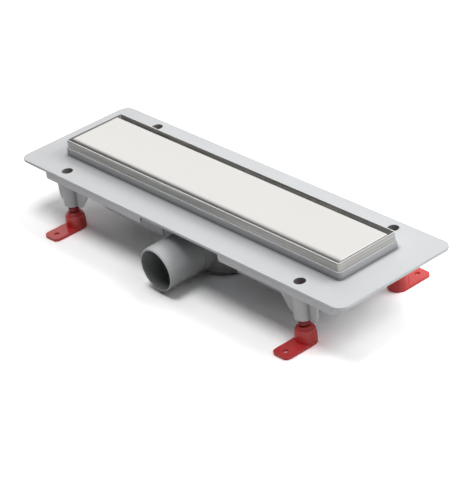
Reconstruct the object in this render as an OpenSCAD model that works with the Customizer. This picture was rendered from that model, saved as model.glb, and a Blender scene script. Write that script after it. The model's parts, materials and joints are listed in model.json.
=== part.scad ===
// Shower channel drain with a side outlet: moulded flange body, steel frame, slotted cover,
// removable cup trap and four screw legs. Origin on the floor, under the middle of the drain.
// Front is -Y, where the outlet leaves. Left is -X. Heights are above the floor.

/* [Flange] */
// Length of the sealing flange
flange_l = 520; // [490:5:640]
// Width of the sealing flange
flange_w = 156; // [150:2:190]
// Thickness of the flange plate
flange_t = 3; // [2.5:0.25:4]
// Corner radius of the flange
flange_r = 12; // [6:1:20]
// Height of the flange's top face over the floor
flange_top = 70; // [68:1:90]
// Depth of the rim skirt below the flange plate
skirt_drop = 8; // [5:1:12]
// Thickness of the rim skirt
skirt_t = 2.4; // [2:0.2:3]
// Step back of the skirt from the flange's edge
skirt_inset = 0.4; // [0.2:0.1:1.5]
// Distance of the skirt's left end from the flange's left end
skirt_end_left = 46; // [14:1:50]
// Distance of the skirt's right end from the flange's right end
skirt_end_right = 14; // [14:1:50]
// Left edge of the skirt's gap for the outlet
gap_left = 46; // [40:1:60]
// Right edge of the skirt's gap for the outlet
gap_right = 79; // [60:1:90]

/* [Trough] */
// Wall of the trough and its floor
trough_wall = 2.5; // [2:0.25:3]
// Depth of the trough floor below the flange's top, at the inlet
floor_mid_drop = 9.5; // [9:0.25:10]
// Rise of the trough floor from the inlet to each end
floor_rise = 3; // [1:0.5:4]
// Height of the collar that holds the frame, over the flange
collar_rise = 9; // [6:0.5:10]
// Wall of the collar beside the frame
collar_wall = 1.6; // [1.4:0.1:2.5]
// Height of the frame's seat over the flange
seat_rise = 2; // [1:0.5:4]
// Lower edge of the side walls over the floor
side_wall_low = 21; // [15:0.5:30]
// Half length of the side walls at their lower edge
side_wall_reach = 160; // [130:2:160]
// Length over which the side walls rise from there to the trough's end
side_wall_run = 36; // [20:2:40]
// Number of cross ribs between the side walls, each side of the trap
cross_ribs = 4; // [2:1:5]
// Thickness of ribs and webs
rib_t = 2.2; // [1.8:0.1:2.6]

/* [Frame] */
// Outer length of the steel frame
frame_l = 439; // [437:1:445]
// Outer width of the steel frame
frame_w = 79; // [78:0.5:82]
// Sheet thickness of the frame
frame_t = 1.25; // [1:0.05:1.5]
// Height of the frame's top edge over the flange
frame_rise = 18.5; // [16:0.5:24]
// Outer corner radius of the frame
frame_r = 3; // [2.5:0.25:4]

/* [Cover] */
// Sheet thickness of the cover
cover_t = 1.5; // [1.2:0.1:2]
// Width of the inlet slot behind the cover
slot_w = 6.5; // [5:0.5:9]
// Gap in front of the cover
cover_gap = 2.6; // [1.5:0.1:3]
// Gap at each end of the cover
end_gap = 2.4; // [1.5:0.1:3]
// Outer radius of the cover's rolled front edge
roll_r = 6; // [4:0.5:7]
// Outer radius of the cover's other folds
fold_r = 2; // [1.8:0.1:3]
// Depth of the cover's folded edges
fold_drop = 9; // [8:0.5:10]

/* [Cover supports] */
// Place of each support bar from the middle
bar_x = 120; // [80:5:150]
// Width of a support bar
bar_w = 20; // [16:1:30]
// Sheet thickness of a support bar
bar_t = 1.5; // [1.2:0.1:2]
// Depth of the folded lips of a support bar
bar_lip = 4; // [2.5:0.5:4]
// Diameter of a rest button
rest_d = 12; // [9:1:14]
// Distance of each rest button's axis from the cover's edge
rest_inset = 13.65; // [13:0.05:20]
// Diameter of a rest button's peg
peg_d = 5; // [3:0.5:6]

/* [Outlet] */
// Outer diameter of the outlet spigot
spigot_d = 50; // [40:1:50]
// Wall of the outlet spigot
spigot_wall = 2.3; // [1.8:0.1:3]
// Distance of the spigot's mouth from the middle
spigot_reach = 100; // [90:1:103]
// Height of the spigot's axis at its mouth
spigot_h = 29; // [27:0.5:29]
// Fall of the spigot towards its mouth, in degrees
spigot_fall = 2; // [0:0.5:2]
// Length of the chamfer at the spigot's mouth
spigot_chamfer = 3; // [1:0.5:6]
// Length of the spigot that a pipe socket slides over, from the mouth
spigot_l = 48; // [40:1:50]
// Height of the stop shoulder behind it
spigot_stop = 0.8; // [0.4:0.1:0.8]

/* [Trap] */
// Outer radius of the trap pot
pot_r = 44; // [42:0.5:45]
// Wall of the trap pot
pot_wall = 2.5; // [2:0.25:3]
// Height of the pot's underside over the floor
pot_low = 3.5; // [1.5:0.5:3.5]
// Thickness of the pot's top flange
pot_flange_t = 3; // [2.5:0.5:4]
// Thickness of the flat gasket
gasket_t = 1; // [0.8:0.1:1.5]
// Radius of the inlet bore in the trough floor
inlet_r = 33; // [32:0.5:34]
// Length of the inlet socket below the trough floor
inlet_drop = 8; // [6:0.5:10]
// Outer radius of the dip tube
dip_r = 22; // [18:0.5:23]
// Outer radius of the trap cup
cup_r = 30; // [29:0.5:31]
// Wall of the dip tube and the cup
insert_wall = 2; // [1.5:0.1:2.2]
// Height of the cup's rim over the floor, which is the water level
cup_rim = 40; // [34:1:42]
// Depth of the water seal
seal_depth = 25; // [15:1:25]
// Sectional diameter of the trap's O-ring
oring_d = 2.2; // [1.8:0.1:2.6]

/* [Strainer] */
// Depth of the strainer basket
basket_drop = 10; // [6:1:12]
// Diameter of a strainer hole
hole_d = 4.4; // [3:0.2:5]

/* [Legs] */
// Distance of the legs' axes from the flange's ends
leg_inset_x = 71.5; // [71:0.5:80]
// Distance of the legs' axes from the flange's long sides
leg_inset_y = 13.4; // [12:0.1:14]
// Crest diameter of the leg spindle
spindle_d = 12.5; // [11:0.25:13]
// Pitch of the spindle's thread
pitch = 3; // [2:0.25:4]
// Depth of the spindle's thread
thread_depth = 0.9; // [0.5:0.1:1]
// Height of the spindle's top end over the floor
spindle_top = 60; // [48:1:61]
// Height of the boss's lower end over the floor
boss_low = 29; // [27:0.5:32]
// Radius of the boss at its lower end
boss_r = 9.7; // [9:0.1:10.5]
// Widening of the boss towards the flange
boss_draft = 0.9; // [0:0.1:1.5]
// Reach of the boss's web inboard at its lower edge
web_in = 20; // [15:0.5:22]
// Widening of the web inboard over its height
web_in_flare = 26; // [10:1:30]
// Reach of the boss's web outboard at its lower edge
web_out = 20; // [15:0.5:21]
// Widening of the web outboard over its height
web_out_flare = 4; // [0:0.5:12]
// Corner cut at the lower ends of the web
web_corner = 3; // [1:0.5:4]
// Rise of the cross web's lower edge from the boss to the trough
web_rise = 22; // [18:1:28]

/* [Feet] */
// Diameter of the foot's dome
foot_d = 23.2; // [22:0.2:25]
// Height of the dome's top over the floor
dome_top = 20; // [18:0.5:20]
// Thickness of the fixing tab
tab_t = 3; // [2:0.25:4]
// Length of the tab from the leg's axis
tab_l = 37.8; // [37:0.2:44]
// Place of the fixing hole from the leg's axis
tab_hole_y = 28; // [22:0.5:30]
// Diameter of the fixing hole
tab_hole_d = 6; // [4:0.25:6.5]
// Corner radius of the tab
tab_r = 6; // [3:0.5:9]

/* [Hidden] */
$fn = 64;

// Overlap that keeps cuts clear of the faces they pass
eps = 0.5;
// Running clearance of the spindle in its boss and in its foot
run_clear = 0.05;
// Clearance between bodies that pass each other
body_clear = 0.3;
// Clearance of the frame in its seat
seat_clear = 0.1;

flange_under = flange_top - flange_t;
skirt_left = flange_l / 2 - skirt_end_left;
skirt_right = flange_l / 2 - skirt_end_right;
collar_top = flange_top + collar_rise;
seat_z = flange_top + seat_rise;
frame_top = flange_top + frame_rise;
seat_l = frame_l + 2 * seat_clear;
seat_w = frame_w + 2 * seat_clear;
collar_l = seat_l + 2 * collar_wall;
collar_w = seat_w + 2 * collar_wall;
collar_r = frame_r + seat_clear + collar_wall;
// The ledge is the strip of the trough wall that the frame stands on
ledge = seat_clear + frame_t + 0.15;
trough_in_l = seat_l - 2 * ledge;
trough_in_w = seat_w - 2 * ledge;
trough_in_r = frame_r + seat_clear - ledge;
trough_out_l = trough_in_l + 2 * trough_wall;
trough_out_w = trough_in_w + 2 * trough_wall;
floor_mid = flange_top - floor_mid_drop;
floor_end = floor_mid + floor_rise;
floor_mid_low = floor_mid - trough_wall;
floor_end_low = floor_end - trough_wall;

// Saddle under the trough that the trap's flange is screwed to, and its step past the pot
saddle_end = 15;
saddle_side = 6;
saddle_l = 2 * (pot_r + saddle_end);
saddle_w = 2 * (pot_r + saddle_side);
saddle_r = 9;
post_r = 4.2;
post_rim_x = 2;
post_rim_y = 1.5;
post_x = saddle_l / 2 - post_r - post_rim_x;
post_y = saddle_w / 2 - post_r - post_rim_y;
screw_r = 1.75;
screw_bite = 5.5;
screw_l = gasket_t + pot_flange_t + screw_bite;
screw_head_r = 3.4;
screw_head_h = 2.4;
screw_socket_r = 1.5;
screw_socket_h = 1.6;
screw_hole_clear = 0.4;
screw_tip_gap = 1;
gasket_z = floor_mid_low - gasket_t;
pot_top = gasket_z;
pot_flange_low = pot_top - pot_flange_t;
pot_in_r = pot_r - pot_wall;
gasket_r = pot_r + 2;

// Side walls: clear distance from the saddle, length and height of the ramp at their inner end
side_wall_gap = 1.5;
ramp_l = 30;
ramp_h = 0.7;
// Distance of the cross ribs' lower edge from that of the side walls
rib_step = 12;
// Distance of the last cross rib from the side walls' reach
last_rib = 8;

// Removable insert of the trap
sleeve_clear = 0.2;
sleeve_r = inlet_r - sleeve_clear;
sleeve_wall = 3.8;
sleeve_in_r = sleeve_r - sleeve_wall;
sleeve_low = floor_mid - trough_wall - inlet_drop;
inlet_wall = 2.5;
rim_r = inlet_r + 3;
rim_t = 2.5;
rim_top = floor_mid + rim_t;
oring_z = floor_mid - trough_wall - inlet_drop / 2;
oring_r = inlet_r - oring_d / 2;
dip_low = cup_rim - seal_depth;
cup_sump = 6;
cup_floor = dip_low - cup_sump;
fin_t = 1.6;
fin_low = dip_low + cup_sump;

// Strainer
basket_r = sleeve_in_r - 0.3;
basket_t = 1.8;
basket_low = rim_top - basket_drop;
knob_r = 3;
knob_top = rim_top + 6;
hole_rings = [[8.5, 6], [15, 12], [21.5, 18]];

// Cover and its supports
cover_front = -frame_w / 2 + frame_t + cover_gap;
cover_back = frame_w / 2 - frame_t - slot_w;
cover_half_l = frame_l / 2 - frame_t - end_gap;
cover_low = frame_top - fold_drop;
bar_top = cover_low - 1.5;
bar_span = frame_w - 2 * frame_t;
rest_top = frame_top - cover_t;
rest_front = cover_front + rest_inset;
rest_back = cover_back - rest_inset;

// Outlet
spigot_r = spigot_d / 2;
spigot_bore_r = spigot_r - spigot_wall;
// Length of the spigot's cylinder, which ends well inside the pot's wall
spigot_sink = 10;
spigot_run = spigot_reach - pot_in_r + spigot_sink;

// Legs
leg_x = flange_l / 2 - leg_inset_x;
leg_y = flange_w / 2 - leg_inset_y;
bore_r = spindle_d / 2 + run_clear;
crest_r = spindle_d / 2;
root_r = crest_r - thread_depth;
journal_r = 5;
journal_low = 5;
socket_r = journal_r + run_clear;
bead_r = journal_r + 0.5;
bead_low = journal_low + 3;
bead_h = 1.6;
groove_clear = 0.1;
thread_low = dome_top + body_clear;
thread_turns = floor((spindle_top - thread_low) / pitch);
key_r = 3.4;
key_depth = 8;

// Colours
moulded_grey = [0.74, 0.75, 0.76];
steel = [0.82, 0.81, 0.79];
leg_red = [0.72, 0.13, 0.14];
rubber_black = [0.13, 0.13, 0.14];
insert_white = [0.90, 0.90, 0.88];
zinc = [0.70, 0.72, 0.74];

// Rectangle with round corners
module rounded(l, w, r) {
    square([l - 2 * r, w], center = true);
    square([l, w - 2 * r], center = true);
    for (sx = [-1, 1], sy = [-1, 1])
        translate([sx * (l / 2 - r), sy * (w / 2 - r)]) circle(r);
}

// Upright prism with round corners between two heights
module slab(l, w, r, low, high) {
    translate([0, 0, low]) linear_extrude(high - low) rounded(l, w, r);
}

// Ring of the given wall with round corners between two heights
module ring_wall(l, w, r, wall, low, high) {
    difference() {
        slab(l, w, r, low, high);
        slab(l - 2 * wall, w - 2 * wall, r - wall, low - eps, high + eps);
    }
}

// Outline drawn in X and Z, extruded along Y between two places
module along_y(y0, y1) {
    translate([0, y1, 0]) rotate([90, 0, 0]) linear_extrude(y1 - y0) children();
}

// Outline drawn in Y and Z, extruded along X between two places
module along_x(x0, x1) {
    translate([x0, 0, 0]) rotate([90, 0, 90]) linear_extrude(x1 - x0) children();
}

// Places its children at each leg, turned so that -Y points away from the drain
module at_leg(sx, sy) {
    translate([sx * leg_x, sy * leg_y, 0]) rotate([0, 0, sy > 0 ? 180 : 0]) children();
}

// Length section of the trough, down to the floor line given at the middle and at the ends
module trough_section(half_l, mid, end, high) {
    polygon([
        [-half_l, high], [-half_l, end], [-saddle_l / 2, mid],
        [saddle_l / 2, mid], [half_l, end], [half_l, high]
    ]);
}

// Skirt that runs round under the flange, with the outlet's gap in its front side
module skirts() {
    mid = (skirt_right - skirt_left) / 2;
    l = skirt_left + skirt_right;
    w = flange_w - 2 * skirt_inset;
    low = flange_under - skirt_drop;
    corner = 2;
    difference() {
        translate([mid, 0, 0]) ring_wall(l, w, skirt_t + 0.6, skirt_t, low, flange_under + eps);
        along_y(-w / 2 - eps, -w / 2 + skirt_t + eps) polygon([
            [-gap_left - corner, low - eps], [-gap_left, low + corner], [-gap_left, flange_top],
            [gap_right, flange_top], [gap_right, low + corner], [gap_right + corner, low - eps]
        ]);
    }
}

// Half of a side wall that stiffens the trough and stands in the screed
module side_wall_outline() {
    inner = saddle_l / 2 + side_wall_gap;
    outer = side_wall_reach + side_wall_run;
    polygon([
        [inner, flange_top], [inner, side_wall_low - ramp_h], [inner + ramp_l, side_wall_low],
        [side_wall_reach, side_wall_low], [outer, floor_end_low + 1], [outer, flange_top]
    ]);
}

module side_walls() {
    for (sx = [0, 1], sy = [-1, 1])
        mirror([sx, 0, 0])
            along_y(sy * trough_out_w / 2 - (sy > 0 ? trough_wall : 0),
                    sy * trough_out_w / 2 + (sy > 0 ? 0 : trough_wall)) side_wall_outline();
}

// Cross ribs between the side walls, and gussets out to the skirts
module ribs() {
    first = saddle_l / 2 + side_wall_gap + 2 * ramp_l / 3;
    step = (side_wall_reach - last_rib - first) / (cross_ribs - 1);
    rib_low = side_wall_low + rib_step;
    gusset_end = flange_w / 2 - skirt_inset - skirt_t / 2;
    for (sx = [-1, 1], i = [0 : cross_ribs - 1]) {
        x = sx * (first + i * step);
        translate([x - rib_t / 2, -trough_in_w / 2 - eps, rib_low])
            cube([rib_t, trough_in_w + 2 * eps, floor_mid - rib_low]);
    }
    for (sx = [-1, 1], sy = [-1, 1]) {
        x = sx * (first + step / 2);
        mirror([0, sy > 0 ? 0 : 1, 0]) along_x(x - rib_t / 2, x + rib_t / 2)
            polygon([
                [trough_out_w / 2 - eps, flange_under + eps], [gusset_end, flange_under + eps],
                [gusset_end, flange_under - skirt_drop + 1], [trough_out_w / 2 - eps, rib_low + 4]
            ]);
    }
}

// Boss of one leg with its web along the flange and its web to the trough; side is -1 where
// the drain's middle lies towards -X
module leg_boss(side) {
    h = flange_under - boss_low;
    translate([0, 0, boss_low]) cylinder(h = h + eps, r1 = boss_r, r2 = boss_r + boss_draft);
    mirror([side < 0 ? 1 : 0, 0, 0]) along_y(-rib_t / 2, rib_t / 2) polygon([
        [-web_out + web_corner, boss_low], [web_in - web_corner, boss_low], [web_in, boss_low + web_corner],
        [web_in + web_in_flare, flange_under + eps], [-web_out - web_out_flare, flange_under + eps],
        [-web_out - web_out_flare / 3, boss_low + 3 * web_corner], [-web_out, boss_low + web_corner]
    ]);
    along_x(-rib_t / 2, rib_t / 2) polygon([
        [0, boss_low + 4], [leg_y - trough_out_w / 2 + eps, boss_low + 4 + web_rise],
        [leg_y - trough_out_w / 2 + eps, flange_under + eps], [0, flange_under + eps]
    ]);
}

// Saddle with its screw posts, and the socket that takes the trap's insert
module saddle() {
    slab(saddle_l, saddle_w, saddle_r, floor_mid_low, floor_mid);
    for (sx = [-1, 1], sy = [-1, 1])
        translate([sx * post_x, sy * post_y, floor_mid_low]) cylinder(h = flange_under - floor_mid_low + eps, r = post_r);
    translate([0, 0, sleeve_low]) cylinder(h = floor_mid - sleeve_low, r = inlet_r + inlet_wall);
}

// Flange, collar, trough, side walls, skirts and leg bosses in one moulding
module channel_body() {
    color(moulded_grey) difference() {
        union() {
            slab(flange_l, flange_w, flange_r, flange_under, flange_top);
            slab(collar_l, collar_w, collar_r, flange_under, collar_top);
            intersection() {
                slab(trough_out_l, trough_out_w, trough_in_r + trough_wall, floor_mid_low, flange_top);
                along_y(-trough_out_w / 2, trough_out_w / 2)
                    trough_section(trough_out_l / 2, floor_mid_low, floor_end_low, flange_top);
            }
            saddle();
            side_walls();
            ribs();
            skirts();
            for (sx = [-1, 1], sy = [-1, 1]) at_leg(sx, sy) leg_boss(sx * sy);
        }
        slab(seat_l, seat_w, frame_r + seat_clear, seat_z, collar_top + eps);
        intersection() {
            slab(trough_in_l, trough_in_w, trough_in_r, floor_mid, seat_z + eps);
            along_y(-trough_in_w / 2, trough_in_w / 2)
                trough_section(trough_in_l / 2, floor_mid, floor_end, seat_z + eps);
        }
        translate([0, 0, sleeve_low - eps]) cylinder(h = floor_mid - sleeve_low + 2 * eps, r = inlet_r);
        for (sx = [-1, 1], sy = [-1, 1]) {
            at_leg(sx, sy) translate([0, 0, boss_low - eps])
                cylinder(h = flange_top - boss_low + 2 * eps, r = bore_r);
            translate([sx * post_x, sy * post_y, floor_mid_low - eps])
                cylinder(h = screw_bite + screw_tip_gap + eps, r = screw_r);
        }
    }
}

// Spigot axis: the mouth's centre, turned so that +Z runs inwards
module at_spigot() {
    translate([0, -spigot_reach, spigot_h]) rotate([-(90 - spigot_fall), 0, 0]) children();
}

// Pot with its screw flange and the side spigot
module trap_housing() {
    color(moulded_grey) difference() {
        union() {
            translate([0, 0, pot_low]) cylinder(h = pot_top - pot_low, r = pot_r);
            slab(saddle_l, saddle_w, saddle_r, pot_flange_low, pot_top);
            at_spigot() {
                cylinder(h = spigot_chamfer, r1 = spigot_r - 0.7, r2 = spigot_r);
                translate([0, 0, spigot_chamfer])
                    cylinder(h = spigot_run - spigot_chamfer, r = spigot_r);
                translate([0, 0, spigot_l])
                    cylinder(h = spigot_run - spigot_l, r = spigot_r + spigot_stop);
            }
        }
        translate([0, 0, pot_low + pot_wall]) cylinder(h = pot_top - pot_low, r = pot_in_r);
        at_spigot() translate([0, 0, -eps]) cylinder(h = spigot_run + 2 * eps, r = spigot_bore_r);
        for (sx = [-1, 1], sy = [-1, 1])
            translate([sx * post_x, sy * post_y, pot_flange_low - eps])
                cylinder(h = pot_flange_t + 2 * eps, r = screw_r + screw_hole_clear);
    }
}

// Flat gasket between the pot and the saddle
module housing_gasket() {
    color(rubber_black) difference() {
        translate([0, 0, gasket_z]) cylinder(h = gasket_t, r = gasket_r);
        translate([0, 0, gasket_z - eps]) cylinder(h = gasket_t + 2 * eps, r = pot_in_r);
    }
}

// One screw of the trap's flange, head down, with a hexagon socket
module housing_screw() {
    difference() {
        union() {
            translate([0, 0, -screw_head_h]) cylinder(h = screw_head_h, r = screw_head_r);
            cylinder(h = screw_l, r = screw_r);
        }
        translate([0, 0, -screw_head_h - eps]) cylinder(h = screw_socket_h + eps, r = screw_socket_r, $fn = 6);
    }
}

module housing_screws() {
    color(zinc) for (sx = [-1, 1], sy = [-1, 1])
        translate([sx * post_x, sy * post_y, pot_flange_low]) housing_screw();
}

// Insert that carries the water down into the cup, with fins that hold the cup
module dip_tube() {
    funnel_low = sleeve_low - 4;
    tube_in_r = dip_r - insert_wall;
    color(insert_white) {
        rotate_extrude() polygon([
            [rim_r, floor_mid], [rim_r, rim_top], [sleeve_in_r, rim_top],
            [sleeve_in_r, sleeve_low + insert_wall], [tube_in_r, funnel_low + insert_wall],
            [tube_in_r, dip_low], [dip_r, dip_low], [dip_r, funnel_low], [sleeve_r, sleeve_low],
            [sleeve_r, oring_z - oring_d / 2], [oring_r - oring_d / 2, oring_z - oring_d / 2],
            [oring_r - oring_d / 2, oring_z + oring_d / 2], [sleeve_r, oring_z + oring_d / 2],
            [sleeve_r, floor_mid]
        ]);
        for (a = [0 : 120 : 240]) rotate([0, 0, a])
            translate([tube_in_r + insert_wall / 2, -fin_t / 2, fin_low])
                cube([cup_r - insert_wall - tube_in_r - insert_wall / 2 - 0.1, fin_t, cup_rim - 2 - fin_low]);
    }
}

// O-ring between the insert's sleeve and the inlet socket
module tube_seal() {
    color(rubber_black) rotate_extrude() translate([oring_r, oring_z]) circle(oring_d / 2 - 0.02);
}

// Cup that holds the water seal
module trap_cup() {
    in_r = cup_r - insert_wall;
    foot_r = 4;
    color(insert_white) rotate_extrude() polygon(concat(
        [[0, cup_floor - insert_wall], [cup_r - foot_r, cup_floor - insert_wall]],
        [for (t = [-75 : 15 : -15]) [cup_r - foot_r + foot_r * cos(t), cup_floor - insert_wall + foot_r + foot_r * sin(t)]],
        [[cup_r, cup_floor - insert_wall + foot_r], [cup_r, cup_rim], [in_r, cup_rim],
         [in_r, cup_floor + foot_r - insert_wall], [in_r - foot_r + insert_wall, cup_floor], [0, cup_floor]]
    ));
}

// Perforated basket with a grip, hung in the insert's mouth
module strainer() {
    color(insert_white) difference() {
        union() {
            rotate_extrude() polygon([
                [0, basket_low], [basket_r - 2, basket_low], [basket_r, basket_low + 2], [basket_r, rim_top],
                [rim_r - 0.5, rim_top], [rim_r - 0.5, rim_top + basket_t], [basket_r - basket_t, rim_top + basket_t],
                [basket_r - basket_t, basket_low + basket_t], [0, basket_low + basket_t]
            ]);
            translate([0, 0, basket_low + basket_t / 2]) cylinder(h = knob_top - basket_low, r1 = knob_r + 1, r2 = knob_r);
        }
        for (ring = hole_rings, i = [0 : ring[1] - 1])
            rotate([0, 0, 360 * i / ring[1]]) translate([ring[0], 0, basket_low - eps])
                cylinder(h = basket_t + 2 * eps, r = hole_d / 2);
    }
}

// Upright sheet frame that stands in the collar
module frame() {
    color(steel) ring_wall(frame_l, frame_w, frame_r, frame_t, seat_z, frame_top);
}

// Outline of the cover across the drain, drawn in Y and Z and set in by inset: rolled front
// edge, flat top, back edge with a small fold
module cover_across(inset, low) {
    front = cover_front + inset;
    back = cover_back - inset;
    top = frame_top - inset;
    r1 = roll_r - inset;
    r2 = fold_r - inset;
    translate([front, low]) square([back - front, top - r1 - low]);
    translate([front + r1, low]) square([back - front - r1 - r2, top - low]);
    translate([front + r1, top - r1]) circle(r1);
    translate([back - r2 - (r1 - r2), top - r1]) square([r1 - r2, r1]);
    translate([back - r1, top - r1]) square([r1, r1 - r2]);
    translate([back - r2, top - r2]) circle(r2);
}

// Outline of the cover along the drain, drawn in X and Z and set in by inset
module cover_along(inset, low) {
    half = cover_half_l - inset;
    top = frame_top - inset;
    r = fold_r - inset;
    translate([-half, low]) square([2 * half, top - r - low]);
    translate([-half + r, low]) square([2 * (half - r), top - low]);
    for (sx = [-1, 1]) translate([sx * (half - r), top - r]) circle(r);
}

// Body that the two outlines share, which gives mitred corners
module cover_form(inset, low) {
    intersection() {
        along_x(-cover_half_l, cover_half_l) cover_across(inset, low);
        along_y(-frame_w / 2, frame_w / 2) cover_along(inset, low);
    }
}

// Cover plate folded down on all four sides
module cover() {
    color(steel) difference() {
        cover_form(0, cover_low);
        cover_form(cover_t, cover_low - eps);
    }
}

// Folded bar across the frame, with holes for two rest buttons
module support_bar(x) {
    color(steel) difference() {
        union() {
            translate([x - bar_w / 2, -bar_span / 2, bar_top - bar_t]) cube([bar_w, bar_span, bar_t]);
            for (sx = [-1, 1])
                translate([x + sx * (bar_w - bar_t) / 2 - bar_t / 2, -bar_span / 2, bar_top - bar_lip])
                    cube([bar_t, bar_span, bar_lip]);
        }
        for (y = [rest_front, rest_back]) translate([x, y, bar_top - bar_t - eps])
            cylinder(h = bar_t + 2 * eps, r = peg_d / 2);
    }
}

// Rest button with its peg, waisted below its head
module rest_button(x, y) {
    head_r = rest_d / 2;
    waist_r = head_r - 1.4;
    color(rubber_black) translate([x, y, 0]) rotate_extrude() polygon([
        [0, bar_top - bar_t - 1], [peg_d / 2 - 0.6, bar_top - bar_t - 1], [peg_d / 2, bar_top - bar_t],
        [peg_d / 2, bar_top], [head_r, bar_top], [head_r, bar_top + 2], [waist_r, bar_top + 3],
        [waist_r, rest_top - 2.6], [head_r - 0.4, rest_top - 1.2], [head_r - 0.4, rest_top], [0, rest_top]
    ]);
}

// Half section of the foot's dome: straight side, rounded shoulder and two rings round the spindle
module dome_section() {
    lip_r = crest_r + 1.3;
    ring_w = 1;
    ring_h = 1.5;
    side_top = 8;
    shoulder_r = lip_r + 2 * ring_w;
    shoulder_top = dome_top - 2 * ring_h;
    foot_r = foot_d / 2;
    polygon(concat(
        [[0, 0], [foot_r, 0], [foot_r, side_top]],
        [for (t = [15 : 15 : 75]) [shoulder_r + (foot_r - shoulder_r) * cos(t), side_top + (shoulder_top - side_top) * sin(t)]],
        [[shoulder_r, shoulder_top], [lip_r + ring_w, shoulder_top + 0.2],
         [lip_r + ring_w, shoulder_top + ring_h], [lip_r, shoulder_top + ring_h + 0.2], [lip_r, dome_top - 0.4],
         [lip_r - 0.4, dome_top], [socket_r, dome_top],
         [socket_r, bead_low + bead_h + groove_clear], [bead_r + groove_clear, bead_low + bead_h + groove_clear],
         [bead_r + groove_clear, bead_low - groove_clear], [socket_r, bead_low - groove_clear],
         [socket_r, journal_low], [0, journal_low]]
    ));
}

// Foot with its dome, and a flat tab with a fixing hole that points away from the drain
module foot() {
    tab_w = foot_d;
    hole_z = tab_t + 2 * eps;
    color(leg_red) difference() {
        union() {
            rotate_extrude() dome_section();
            linear_extrude(tab_t) {
                translate([-tab_w / 2, -tab_l + tab_r]) square([tab_w, tab_l - tab_r]);
                translate([-tab_w / 2 + tab_r, -tab_l]) square([tab_w - 2 * tab_r, tab_r]);
                for (sx = [-1, 1]) translate([sx * (tab_w / 2 - tab_r), -tab_l + tab_r]) circle(tab_r);
            }
        }
        translate([0, -tab_hole_y, -eps]) cylinder(h = hole_z, r = tab_hole_d / 2);
        translate([0, 0, journal_low]) cylinder(h = dome_top, r = socket_r);
    }
}

// Spindle: journal with a snap bead, ridged stem and a hexagon socket in its top
module spindle() {
    stem_top = thread_low + thread_turns * pitch;
    color(leg_red) difference() {
        rotate_extrude() polygon(concat(
            [[0, journal_low + run_clear], [journal_r - 0.5, journal_low + run_clear],
             [journal_r, journal_low + 0.6], [journal_r, bead_low], [bead_r, bead_low + 0.4],
             [bead_r, bead_low + bead_h - 0.4], [journal_r, bead_low + bead_h], [journal_r, thread_low],
             [root_r, thread_low]],
            [for (i = [0 : thread_turns - 1], p = [[root_r, 0.15], [crest_r, 0.4], [crest_r, 0.6], [root_r, 0.85]])
                [p[0], thread_low + (i + p[1]) * pitch]],
            [[root_r, stem_top], [root_r - 0.8, stem_top + 0.8], [0, stem_top + 0.8]]
        ));
        translate([0, 0, stem_top + 0.8 - key_depth]) cylinder(h = key_depth + eps, r = key_r, $fn = 6);
    }
}

channel_body();
trap_housing();
housing_gasket();
housing_screws();
dip_tube();
tube_seal();
trap_cup();
strainer();
frame();
cover();
support_bar(-bar_x);  // support_bar_left
support_bar(bar_x);  // support_bar_right
rest_button(-bar_x, rest_front);  // rest_front_left
rest_button(-bar_x, rest_back);  // rest_back_left
rest_button(bar_x, rest_front);  // rest_front_right
rest_button(bar_x, rest_back);  // rest_back_right
at_leg(-1, -1) foot();  // foot_front_left
at_leg(1, -1) foot();  // foot_front_right
at_leg(-1, 1) foot();  // foot_back_left
at_leg(1, 1) foot();  // foot_back_right
at_leg(-1, -1) spindle();  // spindle_front_left
at_leg(1, -1) spindle();  // spindle_front_right
at_leg(-1, 1) spindle();  // spindle_back_left
at_leg(1, 1) spindle();  // spindle_back_right
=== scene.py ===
"""Looks of a shower channel drain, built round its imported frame.

Metres throughout, in the frame's own axes: +X along the channel, +Y away from the outlet, +Z up,
with the floor at zero. The camera stands where the photographer stood.
"""

import json
import math

import bmesh
import bpy
import numpy as np
from mathutils import Matrix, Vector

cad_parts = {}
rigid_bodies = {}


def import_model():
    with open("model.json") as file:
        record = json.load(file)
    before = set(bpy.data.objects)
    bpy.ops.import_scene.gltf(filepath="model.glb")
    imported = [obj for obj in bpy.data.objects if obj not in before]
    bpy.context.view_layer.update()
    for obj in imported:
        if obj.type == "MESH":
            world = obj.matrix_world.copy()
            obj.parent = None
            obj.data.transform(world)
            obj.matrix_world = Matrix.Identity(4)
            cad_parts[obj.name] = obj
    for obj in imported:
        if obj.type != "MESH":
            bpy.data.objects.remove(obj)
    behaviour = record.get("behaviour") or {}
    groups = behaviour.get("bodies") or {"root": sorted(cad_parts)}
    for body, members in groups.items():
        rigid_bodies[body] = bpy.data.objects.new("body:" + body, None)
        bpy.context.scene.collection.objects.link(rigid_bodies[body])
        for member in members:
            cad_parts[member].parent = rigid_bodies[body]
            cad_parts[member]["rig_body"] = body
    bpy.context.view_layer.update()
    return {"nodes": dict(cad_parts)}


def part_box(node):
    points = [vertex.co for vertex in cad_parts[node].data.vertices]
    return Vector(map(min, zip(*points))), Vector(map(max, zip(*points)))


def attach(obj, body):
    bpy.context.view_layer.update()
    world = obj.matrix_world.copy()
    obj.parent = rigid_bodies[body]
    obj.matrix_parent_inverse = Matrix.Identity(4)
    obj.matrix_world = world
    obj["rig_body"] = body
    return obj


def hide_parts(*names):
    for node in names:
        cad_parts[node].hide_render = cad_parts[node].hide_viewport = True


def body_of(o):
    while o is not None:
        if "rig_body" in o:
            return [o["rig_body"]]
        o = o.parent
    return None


bl_info = {
    "name": "Shower channel drain",
    "version": (1, 0, 0),
    "blender": (4, 5, 0),
    "location": "3D View > Sidebar > Drain",
    "description": "Finishes, screw threads and studio for a shower channel drain",
    "category": "Object",
}

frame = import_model()

MM = 0.001
WHITE = (1.0, 1.0, 1.0, 1.0)
LEGS = ("front_left", "front_right", "back_left", "back_right")

# faces that meet at more than this angle keep a sharp edge, in degrees
EDGE_ANGLE = 35.0
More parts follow.
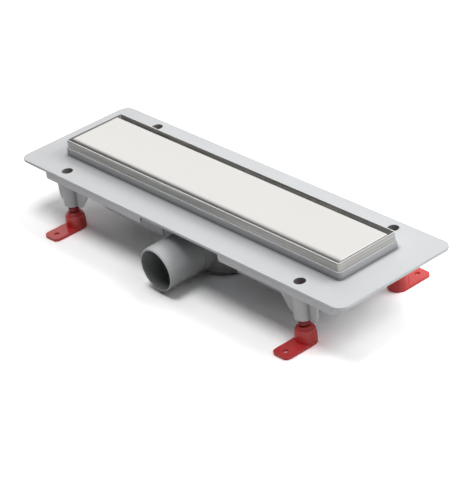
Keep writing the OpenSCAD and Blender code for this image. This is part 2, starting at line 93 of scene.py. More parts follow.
# faces that lean less than this from each other are one flat, in degrees
FLAT_ANGLE = 0.6
# points closer than this are one point
WELD = 1e-6
# the belt runs along the channel, turned a little so that no face is square to it
BELT = (1.0, 0.05, 0.0)

# softboxes: name, azimuth and height in degrees, width and height of the box in metres
LAMPS = (
    ("Top", 0, 82, 0.8, 0.8),
    ("Back_right", 135, 40, 1.3, 1.0),
    ("Back_left", 225, 40, 1.2, 1.0),
    ("Back", 180, 60, 1.0, 0.8),
    ("Right", 90, 45, 1.0, 0.9),
    ("Left", 270, 58, 0.9, 0.9),
    ("Low_left", 270, 20, 1.2, 0.6),
)
# the only softbox that reflections see, so that the others leave no bright shapes in the steel
REFLECTED_LAMP = "Right"
LAMP_DISTANCE = 1.9
LAMP_AIM = 0.03

# half the floor's side, its depth under the feet, and where it goes over to plain white
FLOOR_REACH = 6.0
FLOOR_DROP = 0.2 * MM
FLOOR_LIT, FLOOR_WHITE = 0.6, 1.1

# the grey board at the front left: place on the floor, width and height
FLAG_PLACE = (-0.90, -0.86)
FLAG_SIZE = (1.6, 1.15)

# the photograph's perspective: rows of the camera's turn, its place, and its focal length in pixels
CAMERA_RIGHT = (0.65658579, 0.74546549, -0.11478808)
CAMERA_DOWN = (0.30929777, -0.40491509, -0.86045259)
CAMERA_AHEAD = (-0.68791714, 0.52945725, -0.49643231)
CAMERA_PLACE = (1.53563, -1.17453, 1.11732)
FOCAL_PIXELS = 2085.4
PHOTO_PIXELS = 490
SENSOR_MM = 36.0


def linear(code):
    """sRGB hex to linear RGB with alpha one: the standard two-part curve on each channel."""
    srgb = np.array([int(code[i : i + 2], 16) for i in (1, 3, 5)]) / 255.0
    bright = ((srgb + 0.055) / 1.055) ** 2.4
    return tuple(float(c) for c in np.where(srgb <= 0.04045, srgb / 12.92, bright)) + (1.0,)


# Settings
def colour(name, text, code):
    return bpy.props.FloatVectorProperty(
        name=name, description=text, subtype="COLOR", size=4, min=0.0, max=1.0, default=linear(code)
    )


def length(name, text, mm):
    return bpy.props.FloatProperty(
        name=name, description=text, default=mm * MM, min=0.0, unit="LENGTH", precision=5
    )


def power(name, text, watts):
    return bpy.props.FloatProperty(name=name, description=text, default=watts, min=0.0, unit="POWER")


def factor(name, text, value, least):
    return bpy.props.FloatProperty(name=name, description=text, default=value, min=least)


class DrainMoulding(bpy.types.PropertyGroup):
    """Moulded polypropylene of the channel body, the trap and its insert."""

    body: colour("Body", "Light grey of the channel body", "#E0E2E4")
    trap: colour("Trap", "Grey of the trap pot and the spigot", "#D2D4D6")
    insert: colour("Insert", "Off white of the removable trap insert", "#E3E2DD")
    grain: length("Grain", "Size of the eroded mould grain", 0.9)
    edge: length("Edge", "Width of the rounding on moulded edges", 0.4)


class DrainSteel(bpy.types.PropertyGroup):
    """Brushed stainless steel of the frame, the cover and the bars."""

    frame: colour("Frame", "Steel of the upright frame", "#C4C3C0")
    cover: colour("Cover", "Steel of the cover plate", "#F0EEEB")
    zinc: colour("Screws", "Zinc plating of the flange screws", "#C3C6CA")
    streak: length("Streak", "Spacing of the brush lines", 0.8)
    edge: length("Edge", "Width of the filed rounding on cut sheet", 0.2)


class DrainLegs(bpy.types.PropertyGroup):
    """Red nylon feet and their screw spindles."""

    foot: colour("Foot", "Red of the feet", "#E84646")
    spindle: colour("Spindle", "Red of the screw spindles", "#A51E24")
    pitch: length("Pitch", "Rise of the thread in one turn", 3.0)
    crest: length("Crest", "Radius over the thread's crests", 6.25)
    depth: length("Depth", "Depth of the thread", 0.9)
    journal: length("Journal", "Radius of the plain end that turns in the foot", 5.0)
    key: length("Key", "Corner radius of the hexagon socket", 3.4)
    key_depth: length("Key depth", "Depth of the hexagon socket", 8.0)
    edge: length("Edge", "Width of the rounding on the feet", 0.5)


class DrainStudio(bpy.types.PropertyGroup):
    """White studio: lamps above and behind, little light from the front, and a floor that keeps
    the shadow."""

    paper: colour("Paper", "Floor paper", "#FAFAFA")
    lift: factor("Lift", "Exposure of the paper to the camera", 2.0, 1.0)
    top: power("Top", "Softbox overhead, a little in front", 11.6)
    back_right: power("Back right", "Softbox behind on the right", 15.6)
    back_left: power("Back left", "Softbox behind on the left", 3.6)
    back: power("Back", "High softbox behind", 6.0)
    right: power("Right", "Softbox on the right", 3.6)
    left: power("Left", "High softbox on the left", 2.3)
    low_left: power("Low left", "Low strip on the left", 1.1)
    sky: factor("Sky", "Strength of the room's light", 0.0, 0.0)


# Nodes
def add_node(tree, kind, settings=None, inputs=None):
    """Adds a node with its own settings and its sockets: a socket given as a value is linked."""
    node = tree.nodes.new(kind)
    for key, value in (settings or {}).items():
        setattr(node, key, value)
    for key, value in (inputs or {}).items():
        if isinstance(value, bpy.types.NodeSocket):
            tree.links.new(value, node.inputs[key])
        else:
            node.inputs[key].default_value = value
    return node


def blank(name):
    """A material with an empty tree, its object coordinates, and the place its surface goes to."""
    material = bpy.data.materials.new(name)
    material.use_nodes = True
    tree = material.node_tree
    tree.nodes.clear()
    out = add_node(tree, "ShaderNodeOutputMaterial")
    place = add_node(tree, "ShaderNodeTexCoord").outputs["Object"]
    return material, tree, place, out.inputs["Surface"]


def scalar(tree, operation, *values):
    """A sum on numbers."""
    node = add_node(tree, "ShaderNodeMath", {"operation": operation}, dict(enumerate(values)))
    return node.outputs["Value"]


def vector(tree, operation, *values, out="Vector"):
    """A sum on vectors, which gives a vector or, with out, a value."""
    node = add_node(tree, "ShaderNodeVectorMath", {"operation": operation}, dict(enumerate(values)))
    return node.outputs[out]


def along_axis(tree, place, axis):
    """One coordinate of a vector."""
    return add_node(tree, "ShaderNodeSeparateXYZ", None, {"Vector": place}).outputs[axis]


def scaled(tree, tone, level):
    """A colour times a level."""
    node = add_node(tree, "ShaderNodeVectorMath", {"operation": "SCALE"}, {0: tone, "Scale": level})
    return node.outputs["Vector"]


def stretched(tree, place, scale):
    """Coordinates times a scale on each axis."""
    return add_node(tree, "ShaderNodeMapping", None, {"Vector": place, "Scale": scale}).outputs["Vector"]


def ramp(tree, value, start, end, low, high, smooth=False):
    """Goes from low to high as a value goes from start to end, and stays there."""
    settings = {"interpolation_type": "SMOOTHSTEP" if smooth else "LINEAR"}
    inputs = {"Value": value, "From Min": start, "From Max": end, "To Min": low, "To Max": high}
    return add_node(tree, "ShaderNodeMapRange", settings, inputs).outputs["Result"]


def noise(tree, place, size, detail, **more):
    """Noise in patches of about the given size."""
    inputs = {"Vector": place, "Scale": 1 / size, "Detail": detail, **more}
    return add_node(tree, "ShaderNodeTexNoise", None, inputs).outputs["Fac"]


def mixed(tree, share, low, high):
    """A colour between two."""
    return add_node(tree, "ShaderNodeMix", {"data_type": "RGBA"}, {0: share, 6: low, 7: high}).outputs[2]


def relief(tree, height, strength, depth, **normal):
    """The normal of a surface with fine relief, on a normal of its own if one is given."""
    inputs = {"Strength": strength, "Distance": depth, "Height": height, **normal}
    return add_node(tree, "ShaderNodeBump", None, inputs).outputs["Normal"]


def surfaced(tree, surface, kind, inputs):
    """Makes a shader of the given kind the material's surface."""
    tree.links.new(add_node(tree, kind, None, inputs).outputs["BSDF"], surface)


def seen_rays(tree):
    """A ray's kinds, and one for the rays that see a background: the camera's and reflections."""
    path = add_node(tree, "ShaderNodeLightPath").outputs
    return path, scalar(tree, "MAXIMUM", path["Is Camera Ray"], path["Is Glossy Ray"])


# What materials share
def shade(tree, base, low, high, share):
    """A colour that runs from low to high times the base colour as share goes from 0 to 1."""
    dark = [base[i] * low for i in range(3)] + [1.0]
    pale = [min(1.0, base[i] * high) for i in range(3)] + [1.0]
    return mixed(tree, share, dark, pale)


def paler(base, share):
    """The base colour moved towards white by a share."""
    return [c + (1.0 - c) * share for c in base[:3]] + [1.0]


def broken_edge(tree, reach):
    """Edges rounded over reach: gives the rounded normal, and a mask that is zero on flats and
    one along edges, where the rounded normal turns away from the face's own."""
    soft = add_node(tree, "ShaderNodeBevel", {"samples": 6}, {"Radius": reach}).outputs["Normal"]
    flat = add_node(tree, "ShaderNodeNewGeometry").outputs["Normal"]
    turned = vector(tree, "DOT_PRODUCT", soft, flat, out="Value")
    return soft, ramp(tree, turned, 0.995, 0.80, 0.0, 1.0)


def scuffed(tree, tone, place, mask, pale):
    """A colour that goes over to a paler one along edges, broken up as handling wears them."""
    # scuffs are about 3 mm long
    patch = noise(tree, place, 3 * MM, 3.0)
    return mixed(tree, scalar(tree, "MULTIPLY", mask, patch), tone, pale)


def open_sky(tree, reach, alone):
    """How open a place is, as a share: what lies within reach closes it. Alone, only the piece
    itself counts."""
    settings = {"samples": 8, "only_local": alone}
    return add_node(tree, "ShaderNodeAmbientOcclusion", settings, {"Distance": reach}).outputs["AO"]


def painted_corner_shade(tree, tone, reach, alone):
    """Painted shade: darkens a colour in inner corners and recesses, where shade falls; reach is how far
    from the corner it lies. Unless alone, other pieces make corners with it too."""
    return scaled(tree, tone, ramp(tree, open_sky(tree, reach, alone), 0.3, 1.0, 0.42, 1.0))


def painted_upright_shade(tree, tone, reach):
    """Painted shade: darkens a colour on upright faces that stand on or hang from a wide one,
    where shade falls: reach is how high it gets."""
    loss = ramp(tree, open_sky(tree, reach, True), 0.4, 1.0, -0.5, 0.0)
    normal = add_node(tree, "ShaderNodeTexCoord").outputs["Normal"]
    lying = scalar(tree, "ABSOLUTE", along_axis(tree, normal, "Z"))
    upright = scalar(tree, "SUBTRACT", 1.0, lying)
    return scaled(tree, tone, scalar(tree, "MULTIPLY_ADD", loss, upright, 1.0))


def painted_bore_shade(tree, tone, place, axis):
    """Painted shade: darkens a colour in the legs' bore holes, where shade falls deep in the hole. axis is
    one leg's place; the others are mirrored about the middle, so the coordinates are folded."""
    away = vector(tree, "SUBTRACT", vector(tree, "ABSOLUTE", place), (*axis, 0.0))
    level = vector(tree, "MULTIPLY", away, (1.0, 1.0, 0.0))
    # the bore has a radius of 6.3 mm
    inside = scalar(tree, "LESS_THAN", vector(tree, "LENGTH", level, out="Value"), 6.4 * MM)
    return mixed(tree, inside, tone, linear("#9A9C9B"))


# Materials
def moulded_polypropylene(
    name, look, base, corner_shade_reach, shift=0.0, gloss=0.46, bores=None, upright_shade_reach=0.0, alone=True
):
    """Injection moulded polypropylene from an eroded steel mould: an even satin skin whose fine
    grain breaks up the highlights, with slow drifts of tone where the melt cooled unevenly. shift
    moves the pattern, so that no two mouldings share it."""
    material, tree, place, surface = blank(name)
    offset = {"Vector": place, "Location": (shift, shift * 0.7, 0.0)}
    moved = add_node(tree, "ShaderNodeMapping", None, offset)
    spot = moved.outputs["Vector"]
    # flow marks are 40 to 80 mm across, the grain is the mould's own
    flow = noise(tree, spot, 60 * MM, 3.0, Roughness=0.5)
    skin = noise(tree, spot, look.grain, 2.0, Roughness=0.6)
    soft, mask = broken_edge(tree, look.edge)
    tone = scuffed(tree, shade(tree, base, 0.955, 1.03, flow), place, mask, paler(base, 0.35))
    # painted shade on upright faces next to wide ones
    if upright_shade_reach:
        tone = painted_upright_shade(tree, tone, upright_shade_reach)
    # painted shade in the legs' bore holes
    if bores:
        tone = painted_bore_shade(tree, tone, place, bores)
    surfaced(tree, surface, "ShaderNodeBsdfPrincipled", {
        # the base colour carries painted shade in inner corners
        "Base Color": painted_corner_shade(tree, tone, corner_shade_reach, alone),
        "Roughness": ramp(tree, skin, 0.3, 0.7, gloss - 0.06, gloss + 0.07),
        "IOR": 1.49,
        "Normal": relief(tree, skin, 0.16, 0.2 * MM, Normal=soft),
    })
    return material


def brushed_stainless(name, base, streak, along, gloss, belt_and_reflection_streaks=0.0, rim_highlight=0.0, shaded_roll=0.0):
    """Stainless sheet drawn under an abrasive belt: long fine scratches in one direction, which
    vary the gloss across them and hardly along them, and spread reflections across them. along
    names the axes that the scratches run on, and gloss gives the least and greatest roughness.
    The next three give the depth of wide streaks along the belt, partly belt marks and partly
    painted reflection; the height of the top edge, which is painted paler as a highlight; and the
    place of a rolled front edge, which is painted darker as shade."""
    material, tree, place, surface = blank(name)
    # a scratch is about 60 mm long and a fraction of a millimetre wide
    fine = stretched(tree, place, [1 / (60 * MM if a else streak) for a in along])
    lines = noise(tree, fine, 1.0, 4.0, Roughness=0.65)
    # the belt's pressure drifts over about 90 mm
    cloud = noise(tree, place, 90 * MM, 2.0)
    tone = shade(tree, base, 0.93, 1.04, scalar(tree, "MULTIPLY_ADD", cloud, 0.35, lines))
    if belt_and_reflection_streaks:
        # belt marks and painted reflection streaks, 200 mm long and 4 mm wide
        wide = stretched(tree, place, [1 / (200 * MM if a else 4 * MM) for a in along])
        marks = noise(tree, wide, 1.0, 2.0)
        tone = scaled(tree, tone, ramp(tree, marks, 0.35, 0.65, 1.0 - belt_and_reflection_streaks, 1.0 + belt_and_reflection_streaks))
    if rim_highlight:
        # painted highlight: the frame's top edge is painted paler
        cut = ramp(tree, along_axis(tree, place, "Z"), rim_highlight - 0.3 * MM, rim_highlight - 0.1 * MM, 0.0, 1.0)
        tone = mixed(tree, cut, tone, paler(base, 0.85))
    if shaded_roll:
        # painted shade: the rolled edge is 6 mm deep and goes darker towards its front
        depth = along_axis(tree, place, "Y")
        tone = scaled(tree, tone, ramp(tree, depth, shaded_roll, shaded_roll + 6 * MM, 0.45, 1.0, smooth=True))
    # reflections spread at right angles to the scratches, which run level: normal cross belt
    facing = add_node(tree, "ShaderNodeNewGeometry").outputs["Normal"]
    surfaced(tree, surface, "ShaderNodeBsdfPrincipled", {
        "Base Color": tone,
        "Metallic": 1.0,
        "Roughness": ramp(tree, lines, 0.3, 0.7, *gloss),
        "Anisotropic": 0.75,
        "Tangent": vector(tree, "CROSS_PRODUCT", facing, BELT),
        "Normal": relief(tree, lines, 0.10, 0.1 * MM),
    })
    return material


def moulded_nylon(name, base, edge, gloss):
    """Glass-filled nylon, moulded and coloured through: a wet-looking skin over faint swirls of
    fibre, a little paler where fibres lie at the surface."""
    material, tree, place, surface = blank(name)
    # fibre swirls are about 6 mm across, the pores between them 0.6 mm
    swirl = noise(tree, place, 6 * MM, 3.0, Distortion=1.2)
    pores = noise(tree, place, 0.6 * MM, 2.0)
    soft, mask = broken_edge(tree, edge)
    surfaced(tree, surface, "ShaderNodeBsdfPrincipled", {
        "Base Color": scuffed(tree, shade(tree, base, 0.93, 1.05, swirl), place, mask, paler(base, 0.2)),
        "Roughness": ramp(tree, swirl, 0.3, 0.7, gloss - 0.05, gloss + 0.08),
        "IOR": 1.53,
        "Normal": relief(tree, pores, 0.12, 0.1 * MM, Normal=soft),
    })
    return material


def moulded_rubber(name, base):
    """Black nitrile rubber out of a matt mould: dull, with a bloom of fine dirt in its pores."""
    material, tree, place, surface = blank(name)
    # dirt lies in patches of about 4 mm, the mould's pores are 0.4 mm
    bloom = noise(tree, place, 4 * MM, 4.0)
    pores = noise(tree, place, 0.4 * MM, 1.0)
    surfaced(tree, surface, "ShaderNodeBsdfPrincipled", {
        "Base Color": shade(tree, base, 0.8, 1.5, bloom),
        "Roughness": 0.72,
        "IOR": 1.52,
        "Normal": relief(tree, pores, 0.2, 0.1 * MM),
    })
    return material


def zinc_plating(name, base):
    """Bright zinc on steel screws: small crystals give patches of slightly different gloss."""
    material, tree, place, surface = blank(name)
    # plating crystals are drawn 0.8 mm across, coarser than real ones, so that they show
    cells = add_node(tree, "ShaderNodeTexVoronoi", None, {"Vector": place, "Scale": 1 / (0.8 * MM)})
    crystal = cells.outputs["Distance"]
    surfaced(tree, surface, "ShaderNodeBsdfPrincipled", {
        "Base Color": shade(tree, base, 0.9, 1.05, crystal),
        "Metallic": 1.0,
        "Roughness": ramp(tree, crystal, 0.0, 1.0, 0.24, 0.4),
    })
    return material


def white_paper(name, base, lift):
    """Seamless studio paper: matt, and exposed so that unshaded paper is plain white to the
    camera, while shadows keep their depth. Reflections see it a little under plain white. Past
    the lamps' reach it goes over to plain white, and from below it is clear."""
    material, tree, place, surface = blank(name)
    path, seen = seen_rays(tree)
    glossy = scalar(tree, "MULTIPLY_ADD", path["Is Glossy Ray"], 0.2, 1.0)
    level = scalar(tree, "MULTIPLY_ADD", path["Is Camera Ray"], lift - 1.0, glossy)
    paper = add_node(tree, "ShaderNodeBsdfDiffuse", None, {"Color": scaled(tree, base[:3], level)})
    white = add_node(tree, "ShaderNodeEmission", None, {"Color": WHITE, "Strength": 1.0})
    away = vector(tree, "LENGTH", place, out="Value")
    far = ramp(tree, away, FLOOR_LIT, FLOOR_WHITE, 0.0, 1.0, smooth=True)
    fade = scalar(tree, "MULTIPLY", far, seen)
    layers = {0: fade, 1: paper.outputs["BSDF"], 2: white.outputs["Emission"]}
    sheet = add_node(tree, "ShaderNodeMixShader", None, layers)
    below = add_node(tree, "ShaderNodeNewGeometry").outputs["Backfacing"]
    clear = add_node(tree, "ShaderNodeBsdfTransparent")
    sides = {0: below, 1: sheet.outputs["Shader"], 2: clear.outputs["BSDF"]}
    tree.links.new(add_node(tree, "ShaderNodeMixShader", None, sides).outputs["Shader"], surface)
    return material


def grey_felt(name, base):
    """Felt of a flag board: matt grey with the paler flecks of its fibres."""
    material, tree, place, surface = blank(name)
    # flecks are about 2 mm long
    fleck = noise(tree, place, 2 * MM, 2.0)
    surfaced(tree, surface, "ShaderNodeBsdfDiffuse", {"Color": shade(tree, base, 0.8, 1.3, fleck)})
    return material


# Surfaces and pieces
def surface_mesh(name, points):
    """A mesh from a grid of points, rows by columns: each cell is a face. Doubles are welded, so
    that seams and poles close, and normals then face outwards."""
    rows, columns = points.shape[:2]
    a = (np.arange(rows - 1)[:, None] * columns + np.arange(columns - 1)[None, :]).ravel()
    faces = np.stack([a, a + 1, a + columns + 1, a + columns], axis=1)
    mesh = bpy.data.meshes.new(name)
    mesh.from_pydata(points.reshape(-1, 3).tolist(), [], faces.tolist())
    shell = bmesh.new()
    shell.from_mesh(mesh)
    bmesh.ops.remove_doubles(shell, verts=shell.verts, dist=WELD)
    bmesh.ops.dissolve_degenerate(shell, edges=shell.edges, dist=WELD)
    bmesh.ops.recalc_face_normals(shell, faces=shell.faces)
    shell.to_mesh(mesh)
    shell.free()
    mesh.update()
    return mesh


def placed(name, data):
    """An object for a mesh, a light or a camera, in the scene."""
    made = bpy.data.objects.new(name, data)
    bpy.context.scene.collection.objects.link(made)
    return made


def piece(name, mesh, material, body, nodes):
    """Places a finished mesh as a piece that rides on a body and stands for CAD nodes."""
    mesh.materials.append(material)
    made = placed(name, mesh)
    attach(made, body)
    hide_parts(*nodes)
    return made


def crisp(mesh):
    """Smooth shading that stays sharp where faces meet at more than the edge angle."""
    mesh.polygons.foreach_set("use_smooth", np.ones(len(mesh.polygons), bool))
    mesh.set_sharp_from_angle(angle=math.radians(EDGE_ANGLE))


def rounded(name, width, material):
    """A copy of a CAD node with its edges broken, as a file leaves them. The copy is merged and
    its flat faces are joined first, so that the bevel runs along whole edges. It rounds edges
    over the same angle that parts the shading, and keeps the flats' normals."""
    node = frame["nodes"][name]
    mesh = node.data.copy()
    mesh.name = name + "_rounded"
    mesh.transform(node.matrix_world)
    mesh.materials.clear()
    shell = bmesh.new()
    shell.from_mesh(mesh)
    bmesh.ops.remove_doubles(shell, verts=shell.verts, dist=WELD)
    flat = math.radians(FLAT_ANGLE)
    bmesh.ops.dissolve_limit(shell, angle_limit=flat, verts=shell.verts, edges=shell.edges)
    shell.to_mesh(mesh)
    shell.free()
    crisp(mesh)
    made = piece(mesh.name, mesh, material, body_of(node)[0], [name])
    bevel = made.modifiers.new("Broken_edges", "BEVEL")
    bevel.width, bevel.segments = width, 2
    bevel.limit_method, bevel.angle_limit = "ANGLE", math.radians(EDGE_ANGLE)
    bevel.use_clamp_overlap = False
    bevel.harden_normals = True


def finish(names, material, edge=0.0):
    """Puts a material on CAD nodes, and on copies with rounded edges where edge has a width."""
    for name in names:
        mesh = frame["nodes"][name].data
        mesh.materials.clear()
        mesh.materials.append(material)
        if edge:
            rounded(name, edge, material)


# journal of a spindle from the bottom: radius past its own and height, in mm. A chamfer, the bead
# that snaps into the foot, and the plain stretch up to the thread
JOURNAL = ((-0.5, 0.0), (0.0, 0.6), (0.0, 2.95), (0.5, 3.35), (0.5, 4.15), (0.0, 4.55), (0.0, 15.25))
# one tooth of the thread: share of the pitch, and share of the thread's depth
TOOTH = (
    (0.0, 0.0), (0.12, 0.0), (0.2, 0.14), (0.36, 0.92), (0.42, 1.0),
    (0.58, 1.0), (0.64, 0.92), (0.8, 0.14), (0.88, 0.0),
)
# the thread fades out over this share of a pitch at both ends
RUN_OUT = 0.6
# chamfers of a spindle's top end and of its socket
TOP_CHAMFER = 0.8 * MM
SOCKET_CHAMFER = 0.3 * MM
# points round a spindle, the last on the first
ROUND = 49


def spindle_points(low, high, legs):
    """Screw spindle about its own axis, from low to high. The threaded part is a sheet wound with
    the thread: each row is one line of the thread's profile, and rises by one pitch in a full
    turn, clamped to the stem's ends, where the ridge runs out. The plain ends are profiles turned
    about the axis, and the socket's radius follows a hexagon round the axis."""
    turn = np.linspace(0.0, 2 * math.pi, ROUND)
    one = np.ones(ROUND)
    root = legs.crest - legs.depth
    stem_low = low + JOURNAL[-1][1] * MM
    stem_high = high - TOP_CHAMFER

    share, ridge = np.array(TOOTH).T
    turns = int((stem_high - stem_low) / legs.pitch) + 2
    step = (np.arange(turns)[:, None] + share[None, :]).ravel()
    tooth = np.tile(ridge, turns)[:, None]
    z = stem_low + legs.pitch * (step[:, None] - 1.0 + turn[None, :] / (2 * math.pi))
    z = np.clip(z, stem_low, stem_high)
    fade = RUN_OUT * legs.pitch
    run_out = np.clip((z - stem_low) / fade, 0, 1) * np.clip((stem_high - z) / fade, 0, 1)
    r = root + legs.depth * tooth * run_out

    below = [(0.0, low), *((legs.journal + r_mm * MM, low + z_mm * MM) for r_mm, z_mm in JOURNAL)]
    low_r, low_z = np.array([*below, (root, stem_low)]).T
    hexagon = legs.key * math.cos(math.pi / 6) / np.cos(np.mod(turn, math.pi / 3) - math.pi / 6)
    mouth = hexagon + SOCKET_CHAMFER
    top_r = np.stack([root * one, (root - TOP_CHAMFER) * one, mouth, hexagon, hexagon, 0 * one])
    end = high - legs.key_depth
    top_z = np.array([stem_high, high, high, high - SOCKET_CHAMFER, end, end])

    r = np.concatenate([low_r[:, None] * one, r, top_r])
    z = np.concatenate([low_z[:, None] * one, z, top_z[:, None] * one])
    return np.stack([r * np.cos(turn), r * np.sin(turn), z], axis=2)


# Steps
class DRAIN_OT_moulding(bpy.types.Operator):
    """Finish the moulded channel body and the trap"""

    bl_idname = "drain.moulding"
    bl_label = "Mouldings"

    def execute(self, context):
        look = context.scene.drain_moulding
        low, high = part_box("spindle_back_right")
        leg = ((low.x + high.x) / 2, (low.y + high.y) / 2)
        # the body's colour carries painted shade in corners, on upright faces and in the bore holes
        body = moulded_polypropylene(
            "Moulded_polypropylene_body", look, look.body, 5 * MM, bores=leg, upright_shade_reach=20 * MM
        )
        # the trap lies deep under the body, so its painted shade reaches far and counts the body and the
        # floor too
        trap = moulded_polypropylene(
            "Moulded_polypropylene_trap", look, look.trap, 60 * MM, shift=0.31, gloss=0.42, alone=False
        )
        finish(["channel_body"], body)
        finish(["trap_housing"], trap)
        return {"FINISHED"}


class DRAIN_OT_insert(bpy.types.Operator):
    """Finish the trap's insert, seals and screws"""

    bl_idname = "drain.insert"
    bl_label = "Trap insert"

    def execute(self, context):
        look = context.scene.drain_moulding
        # the insert's colour carries painted shade in its inner corners
        white = moulded_polypropylene(
            "Moulded_polypropylene_insert", look, look.insert, 5 * MM, shift=0.17, gloss=0.38
        )
        finish(["dip_tube", "trap_cup", "strainer"], white)
        finish(["housing_gasket", "tube_seal"], moulded_rubber("Nitrile_rubber_seal", linear("#26262A")))
        finish(["housing_screws"], zinc_plating("Zinc_plated_steel", context.scene.drain_steel.zinc))
        return {"FINISHED"}


class DRAIN_OT_steelwork(bpy.types.Operator):
    """Finish the steel frame, the cover, its bars and its rest buttons"""

    bl_idname = "drain.steelwork"
    bl_label = "Steelwork"

    def execute(self, context):
        look = context.scene.drain_steel
        # the frame gets painted reflection streaks and a painted highlight along its top edge
        upright = brushed_stainless(
            "Brushed_stainless_frame", look.frame, look.streak, (True, True, False), (0.48, 0.60),
            belt_and_reflection_streaks=0.24, rim_highlight=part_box("frame")[1].z,
        )
        # the cover's rolled front edge gets painted shade
        plate = brushed_stainless(
            "Brushed_stainless_cover", look.cover, look.streak, (True, False, False), (0.30, 0.38),
            shaded_roll=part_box("cover")[0].y,
        )
        finish(["frame", "support_bar_left", "support_bar_right"], upright, look.edge)
        finish(["cover"], plate)
        rests = ["rest_front_left", "rest_back_left", "rest_front_right", "rest_back_right"]
        finish(rests, moulded_rubber("Nitrile_rubber_rest", linear("#2C2C2F")))
        return {"FINISHED"}


class DRAIN_OT_legs(bpy.types.Operator):
    """Finish the feet and cut true screw threads on their spindles"""

    bl_idname = "drain.legs"
    bl_label = "Legs"

    def execute(self, context):
        legs = context.scene.drain_legs
        red = moulded_nylon("Moulded_nylon_foot", legs.foot, legs.edge, 0.15)
        deep = moulded_nylon("Moulded_nylon_spindle", legs.spindle, 0.5 * legs.edge, 0.18)
        for leg in LEGS:
            finish(["foot_" + leg], red)
            finish(["spindle_" + leg], deep)
            low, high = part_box("spindle_" + leg)
            points = spindle_points(low.z, high.z, legs)
            points[..., 0] += (low.x + high.x) / 2
            points[..., 1] += (low.y + high.y) / 2
            mesh = surface_mesh("Spindle_thread_" + leg, points)
            crisp(mesh)
            spindle = "spindle_" + leg
            piece(mesh.name, mesh, deep, spindle, [spindle])
        return {"FINISHED"}


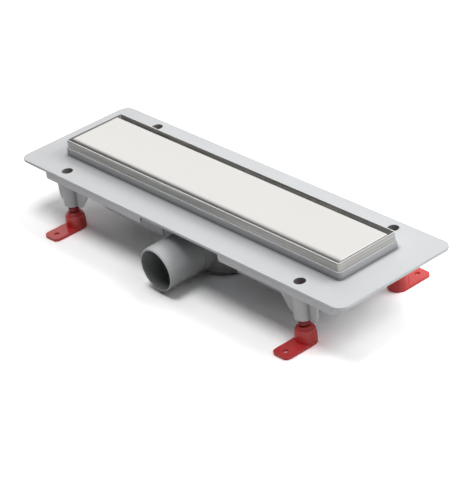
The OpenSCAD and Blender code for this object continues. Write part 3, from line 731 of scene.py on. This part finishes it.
class DRAIN_OT_stage(bpy.types.Operator):
    """Set up the white studio, its lamps and the photographer's camera"""

    bl_idname = "drain.stage"
    bl_label = "Studio"

    def execute(self, context):
        studio = context.scene.drain_studio
        self.floor(studio)
        for name, *box in LAMPS:
            lamp = self.lamp(name + "_softbox", *box, getattr(studio, name.lower()))
            lamp.visible_glossy = name == REFLECTED_LAMP
        self.flag("Front_flag")
        self.room(context.scene, studio.sky)
        self.camera(context.scene)
        return {"FINISHED"}

    @staticmethod
    def floor(studio):
        """Paper under the whole set, facing up, just under the feet."""
        across, along = np.meshgrid([-FLOOR_REACH, FLOOR_REACH], [-FLOOR_REACH, FLOOR_REACH], indexing="ij")
        mesh = surface_mesh("Floor", np.stack([across, along, np.full((2, 2), -FLOOR_DROP)], axis=2))
        if mesh.polygons[0].normal.z < 0:
            mesh.flip_normals()
        mesh.materials.append(white_paper("Seamless_white_paper", studio.paper, studio.lift))
        floor = placed("Floor", mesh)

    @staticmethod
    def lamp(name, azimuth, height, wide, high, watts):
        """A rectangular softbox that faces the drain: azimuth in degrees from the outlet's side
        towards the right, height in degrees over the floor."""
        light = bpy.data.lights.new(name, "AREA")
        light.shape = "RECTANGLE"
        light.size, light.size_y, light.energy = wide, high, watts
        made = placed(name, light)
        round_z = Matrix.Rotation(math.radians(azimuth), 4, "Z")
        turn = round_z @ Matrix.Rotation(math.radians(90 - height), 4, "X")
        aim, away = Matrix.Translation((0, 0, LAMP_AIM)), Matrix.Translation((0, 0, LAMP_DISTANCE))
        made.matrix_world = aim @ turn @ away
        return made

    @staticmethod
    def flag(name):
        """A grey felt board on the floor, square to its distance from the drain. Only reflections
        see it: it gives steel its dark edge, as a photographer's flag does."""
        place, (wide, high) = np.array(FLAG_PLACE), FLAG_SIZE
        away = place / np.linalg.norm(place)
        along, up = np.meshgrid([-wide / 2, wide / 2], [0.0, high], indexing="ij")
        points = np.stack([place[0] - away[1] * along, place[1] + away[0] * along, up], axis=2)
        mesh = surface_mesh(name, points)
        mesh.materials.append(grey_felt("Grey_felt", linear("#5E5E5F")))
        board = placed(name, mesh)
        board.visible_camera = board.visible_diffuse = board.visible_shadow = False

    @staticmethod
    def room(scene, strength):
        """Light of the room on the object, and plain white where a ray sees past it."""
        scene.world = bpy.data.worlds.new("White_room")
        scene.world.use_nodes = True
        tree = scene.world.node_tree
        tree.nodes.clear()
        path, seen = seen_rays(tree)
        seen = scalar(tree, "MAXIMUM", seen, path["Is Transmission Ray"])
        level = ramp(tree, seen, 0.0, 1.0, strength, 1.0)
        light = add_node(tree, "ShaderNodeBackground", None, {"Color": WHITE, "Strength": level})
        add_node(tree, "ShaderNodeOutputWorld", None, {"Surface": light.outputs["Background"]})

    @staticmethod
    def camera(scene):
        """Camera from the photograph's perspective: place, turn and focal length in one solution."""
        data = bpy.data.cameras.new("Camera")
        data.sensor_width = SENSOR_MM
        data.lens = FOCAL_PIXELS * SENSOR_MM / PHOTO_PIXELS
        data.clip_start, data.clip_end = 0.1, 30.0
        made = placed("Camera", data)
        axes = zip(CAMERA_RIGHT, CAMERA_DOWN, CAMERA_AHEAD, CAMERA_PLACE)
        rows = [[right, -down, -ahead, at] for right, down, ahead, at in axes]
        made.matrix_world = Matrix([*rows, [0, 0, 0, 1]])
        scene.camera = made
        scene.view_settings.view_transform = "Standard"


GROUPS = {
    "drain_moulding": DrainMoulding,
    "drain_steel": DrainSteel,
    "drain_legs": DrainLegs,
    "drain_studio": DrainStudio,
}
STEPS = (DRAIN_OT_moulding, DRAIN_OT_insert, DRAIN_OT_steelwork, DRAIN_OT_legs, DRAIN_OT_stage)


class DRAIN_PT_panel(bpy.types.Panel):
    """Settings of the drain's looks, and the steps that dress it, in order."""

    bl_label = "Shower channel drain"
    bl_idname = "DRAIN_PT_panel"
    bl_space_type = "VIEW_3D"
    bl_region_type = "UI"
    bl_category = "Drain"

    def draw(self, context):
        for name in GROUPS:
            group = getattr(context.scene, name)
            box = self.layout.box()
            for setting in group.__annotations__:
                box.prop(group, setting)
        for step in STEPS:
            self.layout.operator(step.bl_idname)


def register():
    for name, group in GROUPS.items():
        bpy.utils.register_class(group)
        setattr(bpy.types.Scene, name, bpy.props.PointerProperty(type=group))
    for step in (*STEPS, DRAIN_PT_panel):
        bpy.utils.register_class(step)


def unregister():
    for step in reversed((*STEPS, DRAIN_PT_panel)):
        bpy.utils.unregister_class(step)
    for name, group in reversed(GROUPS.items()):
        delattr(bpy.types.Scene, name)
        bpy.utils.unregister_class(group)


def main():
    register()
    for step in STEPS:
        group, name = step.bl_idname.split(".")
        getattr(getattr(bpy.ops, group), name)()


if __name__ == "__main__":
    main()
